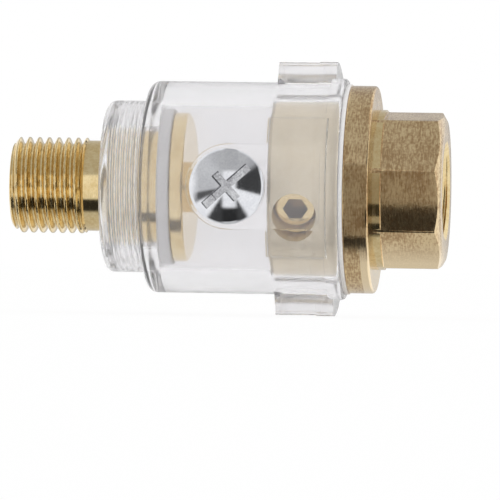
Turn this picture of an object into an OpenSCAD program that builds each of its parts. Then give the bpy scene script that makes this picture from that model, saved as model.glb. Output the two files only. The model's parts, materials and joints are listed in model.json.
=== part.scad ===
// Mini air line lubricator: a clear oil bowl between a brass male outlet and a brass female inlet.
// The air line runs along X, outlet at -X. The filler screw faces -Y. Origin: inner end of the outlet thread.

/* [Outlet nipple] */
// Major diameter of the outlet pipe thread (G 1/4)
outlet_thread_d = 13.157; // [10:0.001:17]
// Length of the outlet pipe thread
outlet_thread_len = 10.2; // [8:0.1:16]
// Depth of the pipe thread, outlet and inlet alike
pipe_thread_depth = 0.856; // [0.5:0.001:1.1]
// Pitch of the outlet pipe thread
pipe_thread_pitch = 1.337; // [1.2:0.001:2.4]
// Diameter of the plain shank between the thread and the bowl's neck
shank_d = 12.4; // [11:0.1:14]
// Length of the plain shank
shank_len = 2.7; // [1.5:0.1:6]
// Major diameter of the stem that screws into the neck
stem_d = 16.66; // [14.5:0.01:18]
// Diameter of the thread relief beside the inner flange
relief_d = 15.3; // [13:0.1:16]
// Diameter of the flange inside the bowl
inner_flange_d = 20.4; // [18:0.1:21]
// Thickness of the flange inside the bowl
inner_flange_t = 1.9; // [1:0.1:3]
// Outside diameter of the standpipe that keeps oil out of the outlet
standpipe_d = 7; // [6:0.1:9]
// Length of the standpipe beyond the inner flange
standpipe_len = 5.6; // [2:0.1:8]
// Diameter of the air way through the nipple
outlet_bore_d = 5; // [3:0.1:5.5]

/* [Bowl] */
// Diameter of the neck
neck_d = 23.5; // [21.5:0.1:26]
// Length of the neck
neck_len = 5.85; // [4:0.05:10]
// Diameter of the bowl
bowl_d = 29; // [28.4:0.1:32]
// Length of the bowl from its shoulder to the grip ring
bowl_len = 17.6; // [15:0.1:26]
// Thickness of the end wall between the shoulder and the oil chamber
end_wall_t = 2.2; // [1.5:0.1:4]
// Diameter of the oil chamber
chamber_d = 22.4; // [21.8:0.1:23.4]
// Rounding of the neck's outer edge
neck_round = 1.2; // [0.3:0.1:2]
// Rounding of the bowl's shoulder
shoulder_round = 1.4; // [0.3:0.1:2.2]
// Fillet between the neck and the shoulder
shoulder_fillet = 0.5; // [0.2:0.1:1]

/* [Grip ring] */
// Diameter over the lobes
lobe_d = 34.8; // [33:0.1:40]
// Width of each lobe
lobe_w = 18.8; // [15:0.1:21]
// Width of the ring along the air line
ring_w = 8; // [6:0.1:12]
// Rounding of the lobes' corners
lobe_round = 0.9; // [0.3:0.1:1.5]
// Fillet at the foot of the lobes
lobe_fillet = 1.6; // [0.4:0.1:2.5]
// Rounding of the ring's two rims
ring_round = 0.5; // [0.2:0.1:1]
// Step where the two mould halves meet on the ring
parting_step = 0.1; // [0.05:0.01:0.3]
// Width of the ring beyond the mould joint
parting_w = 2.4; // [1.2:0.1:4]
// Diameter of the sealing lip
lip_d = 30.3; // [29:0.1:32]
// Width of the sealing lip
lip_w = 1.5; // [0.8:0.1:3]
// Rounding of the lip's edge
lip_round = 0.5; // [0.2:0.1:0.7]

/* [Filler] */
// Width of the flat pad, and of its round end
pad_w = 11.6; // [10.6:0.1:14]
// Depth of the pad's face below the crown of the lobes
pad_sink = 1; // [0.4:0.1:1.9]
// Distance of the filler screw from the bowl's shoulder
filler_offset = 12.5; // [11:0.1:14]
// Width of ring left standing beyond the pad
pad_stop_w = 0.7; // [0.4:0.1:3]
// Diameter of the filler screw's thread
filler_thread_d = 6; // [4:0.1:7]
// Length of the filler screw under its head
filler_len = 7.4; // [6:0.1:8.5]
// Diameter of the filler screw's head
filler_head_d = 10.2; // [9:0.1:11]
// Height of the filler screw's head
filler_head_h = 2.5; // [1.8:0.1:4]
// Height of the head's plain edge
filler_edge_h = 0.9; // [0.4:0.1:1.4]
// Length of the slot across the head
filler_slot_len = 8.9; // [7:0.1:11]
// Width of the slot across the head
filler_slot_w = 1.6; // [0.8:0.05:2]
// Length of the cross recess's short arm
filler_cross_len = 5.1; // [3:0.1:6]
// Depth of the cross recess at the head's centre
filler_cross_depth = 1.7; // [1:0.1:2.2]
// Angle of the slot above the air line
filler_slot_angle = 42; // [0:1:180]
// Diameter of the seal under the head
filler_seal_d = 9.2; // [8:0.1:10]
// Thickness of the seal under the head
filler_seal_t = 0.5; // [0.3:0.05:1.5]

/* [Gaskets] */
// Thickness of the outlet gasket
outlet_gasket_t = 1.6; // [0.8:0.1:2.5]
// Diameter of the outlet gasket
outlet_gasket_d = 21.4; // [20:0.1:21.7]
// Thickness of the inlet gasket
inlet_gasket_t = 0.6; // [0.4:0.05:1.5]
// How far the inlet gasket stands out past the flange
inlet_gasket_proud = 0.2; // [0:0.05:0.5]

/* [Inlet fitting] */
// Diameter of the plug that screws into the bowl
plug_d = 24; // [23.8:0.1:25]
// Length of the plug inside the bowl
plug_len = 10.2; // [9.2:0.1:12]
// Diameter of the flange
flange_d = 28.4; // [26.5:0.1:32]
// Thickness of the flange
flange_t = 3.5; // [2:0.1:6]
// Diameter of the turned collar
collar_d = 21.9; // [20:0.1:24]
// Length of the turned collar
collar_len = 1.3; // [0.5:0.1:4]
// Width across flats of the octagon
octagon_af = 20.4; // [18:0.1:22]
// Length of the octagon
octagon_len = 8.2; // [6:0.1:14]
// Diameter over the octagon's turned corners
octagon_corner_d = 21.7; // [20.8:0.1:23.8]
// Angle of the octagon's first corner above the filler screw
octagon_turn = 13.5; // [0:0.5:45]
// Diameter of the octagon's chamfered end face
octagon_face_d = 19.2; // [17:0.1:20]
// Depth of the inlet pipe thread
port_len = 12; // [8:0.1:12.6]
// Diameter of the countersink at the inlet
port_mouth_d = 13.8; // [12:0.1:15]
// Diameter of the air way through the plug
jet_d = 4; // [2:0.1:5]

/* [Metering screw] */
// Diameter of the metering screw's thread
meter_thread_d = 6; // [5.4:0.1:7]
// Length of the metering screw without its needle
meter_len = 6.5; // [4.4:0.1:6.7]
// Distance of the metering screw from the flange
meter_offset = 6.6; // [5.2:0.1:6.7]
// Angle of the metering screw below the filler screw
meter_tilt = 18.5; // [0:0.5:30]
// Width across flats of its hexagon socket
meter_socket_af = 3; // [2:0.1:3.4]
// Depth of its hexagon socket
meter_socket_depth = 2.2; // [1:0.1:2.4]
// Diameter of the needle at its tip
meter_needle_d = 2.2; // [1:0.1:3]
// Length of the needle beyond the screw's body
meter_needle_len = 2.3; // [1.5:0.1:2.9]
// Distance of the screw's body from the axis when screwed home
meter_seat_r = 3.2; // [3:0.1:4]
// Thickness of the seal ring on the screw
meter_seal_t = 0.88; // [0.6:0.02:1.2]

/* [Hidden] */
$fn = 96;
arc_steps = 6;
eps = 0.01;
// Clearance of a threaded or turned piece in its hole
fit = 0.05;
// Clearance that lets one piece turn or lift on another
turning_gap = 0.05;
// Chamfers on the ends of turned pieces
end_chamfer = 0.8;
edge_chamfer = 0.4;
lobe_count = 3;
octagon_sides = 8;
drill_angle = 59;
octagon_slope = 30;
thread_flank_angle = 27.5;

outlet_r = outlet_thread_d / 2;
stem_r = stem_d / 2;
neck_r = neck_d / 2;
bowl_r = bowl_d / 2;
lobe_r = lobe_d / 2;
lip_r = lip_d / 2;
pad_r = pad_w / 2;
flange_r = flange_d / 2;
plug_r = plug_d / 2 - fit;
filler_r = filler_thread_d / 2 - turning_gap;
filler_head_r = filler_head_d / 2;
meter_r = meter_thread_d / 2 - turning_gap;
// Root of the outlet thread, and bore of the inlet thread
port_r = outlet_r - pipe_thread_depth;

// Places along the air line, from the outlet to the inlet
neck_x = shank_len;
stem_x = neck_x + edge_chamfer;
shoulder_x = neck_x + neck_len;
chamber_x = shoulder_x + end_wall_t;
inner_flange_x = chamber_x + outlet_gasket_t;
standpipe_x = inner_flange_x + inner_flange_t;
filler_x = shoulder_x + filler_offset;
ring_x = shoulder_x + bowl_len;
ring_end_x = ring_x + ring_w;
lip_x = ring_end_x + lip_w;
flange_x = lip_x + inlet_gasket_t;
plug_x = flange_x - plug_len;
meter_x = flange_x - meter_offset;
collar_x = flange_x + flange_t;
octagon_x = collar_x + collar_len;
inlet_x = octagon_x + octagon_len;
pad_end_x = ring_end_x - pad_stop_w;
chamber_end_x = plug_x - turning_gap;

// Heights of the filler pieces above the air line's axis
pad_h = lobe_r - pad_sink;
seal_h = pad_h + turning_gap;
filler_head_base = seal_h + filler_seal_t + turning_gap;

// Places along the metering screw, from the air line's axis
meter_face = meter_seat_r + meter_len;
meter_bottom = meter_seat_r - 4 * turning_gap;
meter_groove = meter_seat_r + edge_chamfer + turning_gap;
meter_groove_w = meter_seal_t + 2 * turning_gap;
meter_groove_r = meter_thread_d / 2 - meter_seal_t - 2 * turning_gap;

// Points of a circular arc about a centre
function arc(centre, r, from, to) =
    [for (i = [0:arc_steps]) centre + r * [cos(from + (to - from) * i / arc_steps),
                                           sin(from + (to - from) * i / arc_steps)]];

// Solid turned about the air line from a profile of [radius, x] points
module turned(profile) {
    rotate([0, 90, 0]) rotate_extrude() polygon(profile);
}

// Round bar along the air line
module bar(r, from, to) {
    translate([from, 0, 0]) rotate([0, 90, 0]) cylinder(r = r, h = to - from);
}

// Flat ring along the air line
module flat_ring(outer_r, inner_r, from, t) {
    difference() {
        bar(outer_r, from, from + t);
        bar(inner_r, from - eps, from + t + eps);
    }
}

// Places its children with +Z along the filler screw, out of the bowl
module at_filler() {
    translate([filler_x, 0, 0]) rotate([90, 0, 0]) children();
}

// Places its children with +Z along the metering screw, out of the plug
module at_metering() {
    translate([meter_x, 0, 0]) rotate([90 + meter_tilt, 0, 0]) children();
}

// Outer form of the bowl without its grip ring: neck, shoulder, barrel and sealing lip
module bowl_barrel() {
    turned(concat(
        [[0, neck_x]],
        arc([neck_r - neck_round, neck_x + neck_round], neck_round, -90, 0),
        arc([neck_r + shoulder_fillet, shoulder_x - shoulder_fillet], shoulder_fillet, 180, 90),
        arc([bowl_r - shoulder_round, shoulder_x + shoulder_round], shoulder_round, -90, 0),
        [[bowl_r, ring_end_x - ring_round], [lip_r, ring_end_x - ring_round]],
        arc([lip_r - lip_round, lip_x - lip_round], lip_round, 0, 90),
        [[0, lip_x]]));
}

// Half of a lobe's outline, from the foot of its fillet to the middle of its crown
function lobe_half(r) =
    let (w = lobe_w / 2,
         foot = sqrt(pow(bowl_r + lobe_fillet, 2) - pow(w + lobe_fillet, 2)),
         foot_angle = atan2(w + lobe_fillet, foot),
         corner = sqrt(pow(r - lobe_round, 2) - pow(w - lobe_round, 2)),
         corner_angle = atan2(w - lobe_round, corner))
    concat(arc([foot, w + lobe_fillet], lobe_fillet, 180 + foot_angle, 270),
           arc([corner, w - lobe_round], lobe_round, 90, corner_angle),
           arc([0, 0], r, corner_angle, 0));

// Outline of the grip ring, with one lobe on the filler's side
module ring_outline(r) {
    half = lobe_half(r);
    other_half = [for (i = [len(half) - 2:-1:0]) [half[i].x, -half[i].y]];
    circle(r = bowl_r);
    for (k = [0:lobe_count - 1])
        rotate(k * 360 / lobe_count) polygon(concat([[0, 0]], half, other_half));
}

// Section of the grip ring between two places along the air line
module ring_section(r, from, to) {
    translate([from, 0, 0]) rotate([-90, 0, 0]) rotate([0, 90, 0])
        linear_extrude(to - from) ring_outline(r);
}

// Grip ring with rounded rims and the step of the mould joint
module grip_ring() {
    joint_x = ring_end_x - parting_w;
    intersection() {
        union() {
            ring_section(lobe_r - parting_step, ring_x, joint_x);
            ring_section(lobe_r, joint_x, ring_end_x);
        }
        turned(concat(
            [[0, ring_x]],
            arc([lobe_r - parting_step - ring_round, ring_x + ring_round], ring_round, -90, 0),
            [[lobe_r - parting_step, joint_x], [lobe_r, joint_x]],
            arc([lobe_r - ring_round, ring_end_x - ring_round], ring_round, 0, 90),
            [[0, ring_end_x]]));
    }
}

// Flat pad under the filler screw, with a round end, running on into the grip ring
module filler_pad(from, to) {
    at_filler() translate([0, 0, from]) {
        cylinder(r = pad_r, h = to - from);
        translate([0, -pad_r, 0]) cube([pad_end_x - filler_x, pad_w, to - from]);
    }
}

module bowl() {
    color([0.86, 0.86, 0.9, 0.4])
    difference() {
        union() {
            difference() {
                union() {
                    bowl_barrel();
                    grip_ring();
                }
                filler_pad(pad_h, lobe_r + end_chamfer);
            }
            filler_pad(chamber_d / 2 + fit, pad_h);
        }
        bar(stem_r + fit, neck_x - eps, chamber_x + eps);
        bar(chamber_d / 2, chamber_x, plug_x);
        turned([[0, chamber_end_x], [plug_d / 2, chamber_end_x], [plug_d / 2, lip_x - edge_chamfer],
                [plug_d / 2 + edge_chamfer, lip_x + eps], [0, lip_x + eps]]);
        at_filler() cylinder(d = filler_thread_d, h = pad_h + end_chamfer);
    }
}

// Points of the outlet thread's turned grooves, one to a pitch, from the outer end to the shank
function thread_grooves() =
    let (count = floor((outlet_thread_len - end_chamfer) / pipe_thread_pitch),
         flank_w = pipe_thread_depth * tan(thread_flank_angle),
         root_w = pipe_thread_pitch / 2 - flank_w,
         groove = [[outlet_r, -root_w / 2 - flank_w], [port_r, -root_w / 2],
                   [port_r, root_w / 2], [outlet_r, root_w / 2 + flank_w]])
    [for (i = [count - 1:-1:0], point = groove) point - [0, (i + 0.5) * pipe_thread_pitch]];

module outlet_nipple() {
    color([0.80, 0.62, 0.30])
    difference() {
        turned(concat([
            [0, -outlet_thread_len],
            [port_r, -outlet_thread_len],
            [outlet_r, -outlet_thread_len + end_chamfer]],
            thread_grooves(), [
            [outlet_r, 0],
            [shank_d / 2, 0],
            [shank_d / 2, stem_x],
            [stem_r - edge_chamfer, stem_x],
            [stem_r, stem_x + edge_chamfer],
            [stem_r, shoulder_x - edge_chamfer],
            [relief_d / 2, shoulder_x],
            [relief_d / 2, inner_flange_x],
            [inner_flange_d / 2, inner_flange_x],
            [inner_flange_d / 2, standpipe_x - edge_chamfer],
            [inner_flange_d / 2 - edge_chamfer, standpipe_x],
            [standpipe_d / 2, standpipe_x],
            [standpipe_d / 2, standpipe_x + standpipe_len],
            [0, standpipe_x + standpipe_len]]));
        bar(outlet_bore_d / 2, -outlet_thread_len - eps, standpipe_x + standpipe_len + eps);
    }
}

module outlet_gasket() {
    color([0.83, 0.83, 0.82, 0.7])
    flat_ring(outlet_gasket_d / 2, relief_d / 2 + fit, chamber_x, outlet_gasket_t);
}

// Octagon milled on a round bar that starts inside the flange, with its chamfered outer end
module octagon() {
    corner_r = octagon_af / 2 / cos(180 / octagon_sides);
    bar_r = octagon_corner_d / 2;
    root_x = collar_x - edge_chamfer;
    chamfer_len = (bar_r - octagon_face_d / 2) * tan(octagon_slope);
    intersection() {
        translate([root_x, 0, 0]) rotate([-90 - octagon_turn, 0, 0]) rotate([0, 90, 0])
            linear_extrude(inlet_x - root_x) circle(r = corner_r, $fn = octagon_sides);
        turned([[0, root_x], [bar_r, root_x], [bar_r, inlet_x - chamfer_len],
                [octagon_face_d / 2, inlet_x], [0, inlet_x]]);
    }
}

module inlet_fitting() {
    port_end_x = inlet_x - port_len;
    mouth_len = port_mouth_d / 2 - port_r;
    color([0.69, 0.52, 0.31])
    difference() {
        union() {
            turned([
                [0, plug_x],
                [plug_r - edge_chamfer, plug_x],
                [plug_r, plug_x + edge_chamfer],
                [plug_r, flange_x],
                [flange_r, flange_x],
                [flange_r, collar_x - edge_chamfer],
                [flange_r - edge_chamfer, collar_x],
                [collar_d / 2, collar_x],
                [collar_d / 2, octagon_x],
                [0, octagon_x]]);
            octagon();
        }
        bar(jet_d / 2, plug_x - eps, port_end_x + eps);
        turned([[0, port_end_x - port_r / tan(drill_angle)], [port_r, port_end_x],
                [port_r, inlet_x - mouth_len], [port_mouth_d / 2 + eps, inlet_x + eps], [0, inlet_x + eps]]);
        at_metering() {
            cylinder(d = meter_needle_d + 4 * turning_gap, h = plug_r);
            translate([0, 0, meter_bottom]) cylinder(d = meter_thread_d, h = plug_r);
        }
    }
}

module inlet_gasket() {
    color([0.9, 0.9, 0.9, 0.6])
    flat_ring(flange_r + inlet_gasket_proud, plug_d / 2 + fit, lip_x, inlet_gasket_t);
}

// Domed head of the filler screw
module filler_head() {
    crown = filler_head_h - filler_edge_h;
    dome_r = (pow(filler_head_r, 2) + pow(crown, 2)) / (2 * crown);
    dome_angle = asin(filler_head_r / dome_r);
    rotate_extrude() polygon(concat(
        [[0, 0], [filler_head_r, 0]],
        arc([0, filler_head_h - dome_r], dome_r, 90 - dome_angle, 90)));
}

// Slot and cross recess of the filler screw's head
module filler_recess() {
    slot_depth = filler_head_h - filler_edge_h;
    rotate(filler_slot_angle) {
        translate([-filler_slot_len / 2, -filler_slot_w / 2, filler_head_h - slot_depth])
            cube([filler_slot_len, filler_slot_w, filler_head_h]);
        for (turn = [0, 90])
            rotate(turn)
                translate([-filler_cross_len / 2, -filler_slot_w / 2, filler_head_h - filler_cross_depth])
                    cube([filler_cross_len, filler_slot_w, filler_head_h]);
    }
}

module filler_screw() {
    color([0.80, 0.81, 0.83])
    at_filler() translate([0, 0, filler_head_base]) {
        difference() {
            filler_head();
            filler_recess();
        }
        translate([0, 0, -filler_len + edge_chamfer]) cylinder(r = filler_r, h = filler_len - edge_chamfer);
        translate([0, 0, -filler_len])
            cylinder(r1 = filler_r - edge_chamfer, r2 = filler_r, h = edge_chamfer);
    }
}

module filler_seal() {
    color([0.92, 0.92, 0.92])
    at_filler() translate([0, 0, seal_h]) difference() {
        cylinder(d = filler_seal_d, h = filler_seal_t);
        translate([0, 0, -eps]) cylinder(d = filler_thread_d, h = filler_seal_t + 2 * eps);
    }
}

module metering_screw() {
    groove_end = meter_groove + meter_groove_w;
    needle_r = meter_needle_d / 2;
    color([0.74, 0.57, 0.28])
    at_metering() difference() {
        rotate_extrude() polygon([
            [0, meter_seat_r - meter_needle_len],
            [needle_r / 2, meter_seat_r - meter_needle_len],
            [needle_r, meter_seat_r - meter_needle_len / 2],
            [needle_r, meter_seat_r],
            [meter_r - edge_chamfer, meter_seat_r],
            [meter_r, meter_seat_r + edge_chamfer],
            [meter_r, meter_groove],
            [meter_groove_r, meter_groove],
            [meter_groove_r, groove_end],
            [meter_r, groove_end],
            [meter_r, meter_face - edge_chamfer],
            [meter_r - edge_chamfer, meter_face],
            [0, meter_face]]);
        translate([0, 0, meter_face - meter_socket_depth])
            cylinder(d = meter_socket_af / cos(30), h = meter_socket_depth + eps, $fn = 6);
    }
}

module metering_seal() {
    seal_r = meter_seal_t / 2;
    color([0.15, 0.15, 0.16])
    at_metering() translate([0, 0, meter_groove + meter_groove_w / 2])
        rotate_extrude() translate([meter_groove_r + turning_gap + seal_r, 0]) circle(r = seal_r);
}

bowl();
outlet_nipple();
outlet_gasket();
inlet_fitting();
inlet_gasket();
filler_screw();
filler_seal();
metering_screw();
metering_seal();
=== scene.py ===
"""Mini air line lubricator: a clear oil bowl between a brass outlet nipple and a brass inlet fitting.

The air line runs along X with its outlet at -X, the filler screw faces -Y, and lengths are in metres.
"""

import json
import logging
import math
from collections.abc import Callable
from dataclasses import dataclass, field
from enum import Enum

import bpy
import numpy as np
from mathutils import Matrix, Vector


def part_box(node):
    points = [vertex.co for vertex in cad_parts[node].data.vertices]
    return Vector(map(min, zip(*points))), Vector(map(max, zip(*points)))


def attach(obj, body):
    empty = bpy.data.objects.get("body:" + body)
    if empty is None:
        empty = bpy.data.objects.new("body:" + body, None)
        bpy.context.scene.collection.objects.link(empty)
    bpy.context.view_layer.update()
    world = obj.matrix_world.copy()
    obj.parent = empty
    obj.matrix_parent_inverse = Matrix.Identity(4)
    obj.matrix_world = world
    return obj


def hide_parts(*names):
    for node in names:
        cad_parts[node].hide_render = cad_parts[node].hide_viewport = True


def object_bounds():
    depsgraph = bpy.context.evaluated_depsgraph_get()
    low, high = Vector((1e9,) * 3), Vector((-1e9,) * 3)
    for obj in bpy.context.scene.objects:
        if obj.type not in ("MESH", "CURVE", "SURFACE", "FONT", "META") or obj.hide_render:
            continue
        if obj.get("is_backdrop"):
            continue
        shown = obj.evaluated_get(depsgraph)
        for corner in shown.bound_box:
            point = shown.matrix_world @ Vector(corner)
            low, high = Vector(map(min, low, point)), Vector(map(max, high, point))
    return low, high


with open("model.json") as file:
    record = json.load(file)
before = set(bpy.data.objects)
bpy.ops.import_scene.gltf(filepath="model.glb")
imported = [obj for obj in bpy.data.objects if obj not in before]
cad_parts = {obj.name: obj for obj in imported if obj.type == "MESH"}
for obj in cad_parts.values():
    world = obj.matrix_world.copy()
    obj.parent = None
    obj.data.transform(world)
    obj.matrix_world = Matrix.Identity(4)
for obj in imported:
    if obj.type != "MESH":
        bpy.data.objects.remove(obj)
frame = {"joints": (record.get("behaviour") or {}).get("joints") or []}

log = logging.getLogger("lubricator")

Point = tuple[float, float]
Profile = list[Point]
Colour = tuple[float, float, float]
Solid = bpy.types.Object
Socket = bpy.types.NodeSocket

MM = 0.001
HOUSING = "housing"
# Faces round a turned piece, and the spacing of the vertex rows that a thread is cut from
TURN_STEPS = 192
THREAD_ROW = 0.06 * MM
ARC_STEPS = 8
DOUBLES = 0.0005 * MM
SMOOTH_ANGLE = math.radians(34)
# Clearance between a screwed piece and its female thread
THREAD_FIT = 0.05 * MM
# How far a cutting tool reaches past what it cuts
TOOL_MARGIN = 1.0 * MM
# Turning lines per metre on metal, and scratches per metre with how much narrower than long each is
TURNING_LINES = 9000.0
SCRATCHES = 1000.0
SCRATCH_STRETCH = 5.0
# Length over which the painted light on a lower side fades into the tarnish
PAINTED_LIGHT_FADE = 3.0 * MM
WHITE = (1.0, 1.0, 1.0, 1.0)


class Cut(Enum):
    """How one solid is joined to another."""

    UNION = "UNION"
    DIFFERENCE = "DIFFERENCE"
    INTERSECT = "INTERSECT"


def arc(centre: Point, radius: float, start: float, end: float, steps: int = ARC_STEPS) -> Profile:
    """Give the points of a circular arc.

    Args:
        centre: The arc's centre, as place along the axis and distance from it.
        radius: The arc's radius.
        start: First angle in degrees, from the axis outward.
        end: Last angle in degrees.
        steps: Number of chords.

    Returns:
        The points, both ends included.
    """
    angles = [math.radians(start + (end - start) * i / steps) for i in range(steps + 1)]
    return [(centre[0] + radius * math.cos(a), centre[1] + radius * math.sin(a)) for a in angles]


def thread_rows(start: Point, end: Point) -> Profile:
    """Give closely spaced points along a straight line, for a thread to be cut in.

    Args:
        start: The first point, as place along the axis and distance from it.
        end: The last point.

    Returns:
        The points, both ends included.
    """
    count = max(2, round(math.dist(start, end) / THREAD_ROW))
    first, last = Vector(start), Vector(end)
    return [tuple(first.lerp(last, i / count)) for i in range(count + 1)]


def pick(obj: Solid) -> None:
    """Select one object alone and make it the active one."""
    bpy.ops.object.select_all(action="DESELECT")
    obj.select_set(True)
    bpy.context.view_layer.objects.active = obj


def coordinates(obj: Solid) -> np.ndarray:
    """Give a mesh's vertices as rows of three numbers."""
    points = np.zeros(len(obj.data.vertices) * 3)
    obj.data.vertices.foreach_get("co", points)
    return points.reshape(-1, 3)


def trace(points: list[Vector], name: str) -> Solid:
    """Draw a closed wire by extruding a single vertex from point to point.

    Args:
        points: The wire's corners in order.
        name: Name of the new object.

    Returns:
        The wire, left in edit mode with everything selected.
    """
    bpy.ops.object.select_all(action="DESELECT")
    bpy.ops.mesh.primitive_plane_add(size=MM)
    obj = bpy.context.object
    obj.name = name
    bpy.ops.object.mode_set(mode="EDIT")
    bpy.ops.mesh.merge(type="CENTER")
    bpy.ops.transform.translate(value=points[0])
    for here, there in zip(points, points[1:]):
        bpy.ops.mesh.extrude_vertices_move(TRANSFORM_OT_translate={"value": there - here})
    bpy.ops.object.mode_set(mode="OBJECT")
    for vertex in obj.data.vertices:
        vertex.select = vertex.index in (0, len(points) - 1)
    bpy.ops.object.mode_set(mode="EDIT")
    bpy.ops.mesh.edge_face_add()
    bpy.ops.mesh.select_all(action="SELECT")
    return obj


def close_mesh() -> None:
    """Merge the doubles of the mesh in edit mode, turn its faces outwards and leave edit mode."""
    bpy.ops.mesh.select_all(action="SELECT")
    bpy.ops.mesh.remove_doubles(threshold=DOUBLES)
    bpy.ops.mesh.normals_make_consistent(inside=False)
    bpy.ops.object.mode_set(mode="OBJECT")


def turn(name: str, profile: Profile, steps: int = TURN_STEPS) -> Solid:
    """Turn a closed profile about the X axis.

    Args:
        name: Name of the new object.
        profile: Corners of the section, as place along X and radius.
        steps: Number of faces round the piece.

    Returns:
        The turned solid.
    """
    obj = trace([Vector((x, 0.0, r)) for x, r in profile], name)
    bpy.ops.mesh.spin(steps=steps, angle=math.tau, center=(0, 0, 0), axis=(1, 0, 0))
    close_mesh()
    return obj


def turn_ring(name: str, ends: Point, radii: Point, rim: float, steps: int = TURN_STEPS) -> Solid:
    """Turn a flat ring with rounded outer rims.

    Args:
        name: Name of the new object.
        ends: Its low and high place along X.
        radii: Its inner and outer radius.
        rim: Radius of the rims.
        steps: Number of faces round the ring.

    Returns:
        The ring.
    """
    low, high = ends
    inner, outer = radii
    profile = [(high, inner), (low, inner)]
    profile += arc((low + rim, outer - rim), rim, 180, 90, 4)
    profile += arc((high - rim, outer - rim), rim, 90, 0, 4)
    return turn(name, profile, steps)


def raise_outline(name: str, outline: list[Vector], height: Vector) -> Solid:
    """Fill a flat outline and extrude it.

    Args:
        name: Name of the new object.
        outline: The outline's corners in order.
        height: Direction and length of the extrusion.

    Returns:
        The prism.
    """
    obj = trace(outline, name)
    bpy.ops.mesh.edge_face_add()
    bpy.ops.mesh.extrude_region_move(TRANSFORM_OT_translate={"value": height})
    close_mesh()
    return obj


def combine(obj: Solid, tool: Solid, cut: Cut) -> None:
    """Join a tool solid to a piece and delete the tool.

    Args:
        obj: The piece.
        tool: The solid that is added to it, cut from it or kept in common with it.
        cut: Which of the three.
    """
    pick(obj)
    modifier = obj.modifiers.new("combine", "BOOLEAN")
    modifier.operation = cut.value
    modifier.solver = "MANIFOLD"
    modifier.object = tool
    bpy.ops.object.modifier_apply(modifier=modifier.name)
    pick(tool)
    bpy.ops.object.delete()


def round_edges(obj: Solid, width: float, angle: float = 40.0, segments: int = 3) -> None:
    """Round a piece's sharp edges.

    Args:
        obj: The piece.
        width: Width of the rounding.
        angle: Edges sharper than this many degrees are rounded.
        segments: Faces across the rounding.
    """
    pick(obj)
    modifier = obj.modifiers.new("round", "BEVEL")
    modifier.width = width
    modifier.segments = segments
    modifier.limit_method = "ANGLE"
    modifier.angle_limit = math.radians(angle)
    modifier.use_clamp_overlap = True
    bpy.ops.object.modifier_apply(modifier=modifier.name)


def place(obj: Solid, matrix: Matrix) -> None:
    """Move a piece to its place and write that place into its mesh."""
    pick(obj)
    obj.matrix_world = matrix
    bpy.ops.object.transform_apply(location=True, rotation=True, scale=True)


@dataclass(frozen=True)
class Thread:
    """A right-handed screw thread about X, cut by moving the vertex rows of a cylinder.

    Attributes:
        start: Where the thread begins along X.
        end: Where it ends.
        crest: Radius of the cylinder that it is cut in.
        depth: Depth of the groove, below 0 where it goes outward into a bore.
        pitch: Distance from crest to crest.
        phase: Share of a turn by which the crests are moved on.
        runouts: Lengths over which the groove fades out at the start and at the end.
        flank: Shares of the way from groove to crest where the flank begins and ends.
        slack: How far off the thread's depth a vertex may lie and still be moved.
    """

    start: float
    end: float
    crest: float
    depth: float
    pitch: float
    phase: float = 0.0
    runouts: Point = (0.3 * MM, 0.9 * MM)
    flank: Point = (0.12, 0.88)
    slack: float = 0.01 * MM

    def cut(self, obj: Solid) -> None:
        """Cut the thread into a piece that has rows of vertices on the crest's cylinder and its chamfers."""
        points = coordinates(obj)
        x = points[:, 0]
        radius = np.maximum(np.hypot(points[:, 1], points[:, 2]), MM)
        share = x / self.pitch - np.arctan2(points[:, 2], points[:, 1]) / math.tau - self.phase
        ridge = np.abs(share - np.floor(share) - 0.5) * 2
        groove = 1 - self._ease(ridge, *self.flank)
        fade = self._ease(x - self.start, 0.0, self.runouts[0])
        fade *= self._ease(self.end - x, 0.0, self.runouts[1])
        surface = self.crest - self.depth * groove * fade
        meets = np.minimum if self.depth > 0 else np.maximum
        reach = abs(self.depth) + self.slack
        touched = (np.abs(radius - self.crest) < reach) & (x > self.start) & (x < self.end)
        points[:, 1:] *= np.where(touched, meets(radius, surface) / radius, 1.0)[:, None]
        obj.data.vertices.foreach_set("co", points.ravel())
        obj.data.update()

    @staticmethod
    def _ease(value: np.ndarray, low: float, high: float) -> np.ndarray:
        """Go smoothly from 0 at low to 1 at high."""
        share = np.clip((value - low) / max(high - low, DOUBLES), 0, 1)
        return share * share * (3 - 2 * share)


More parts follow.
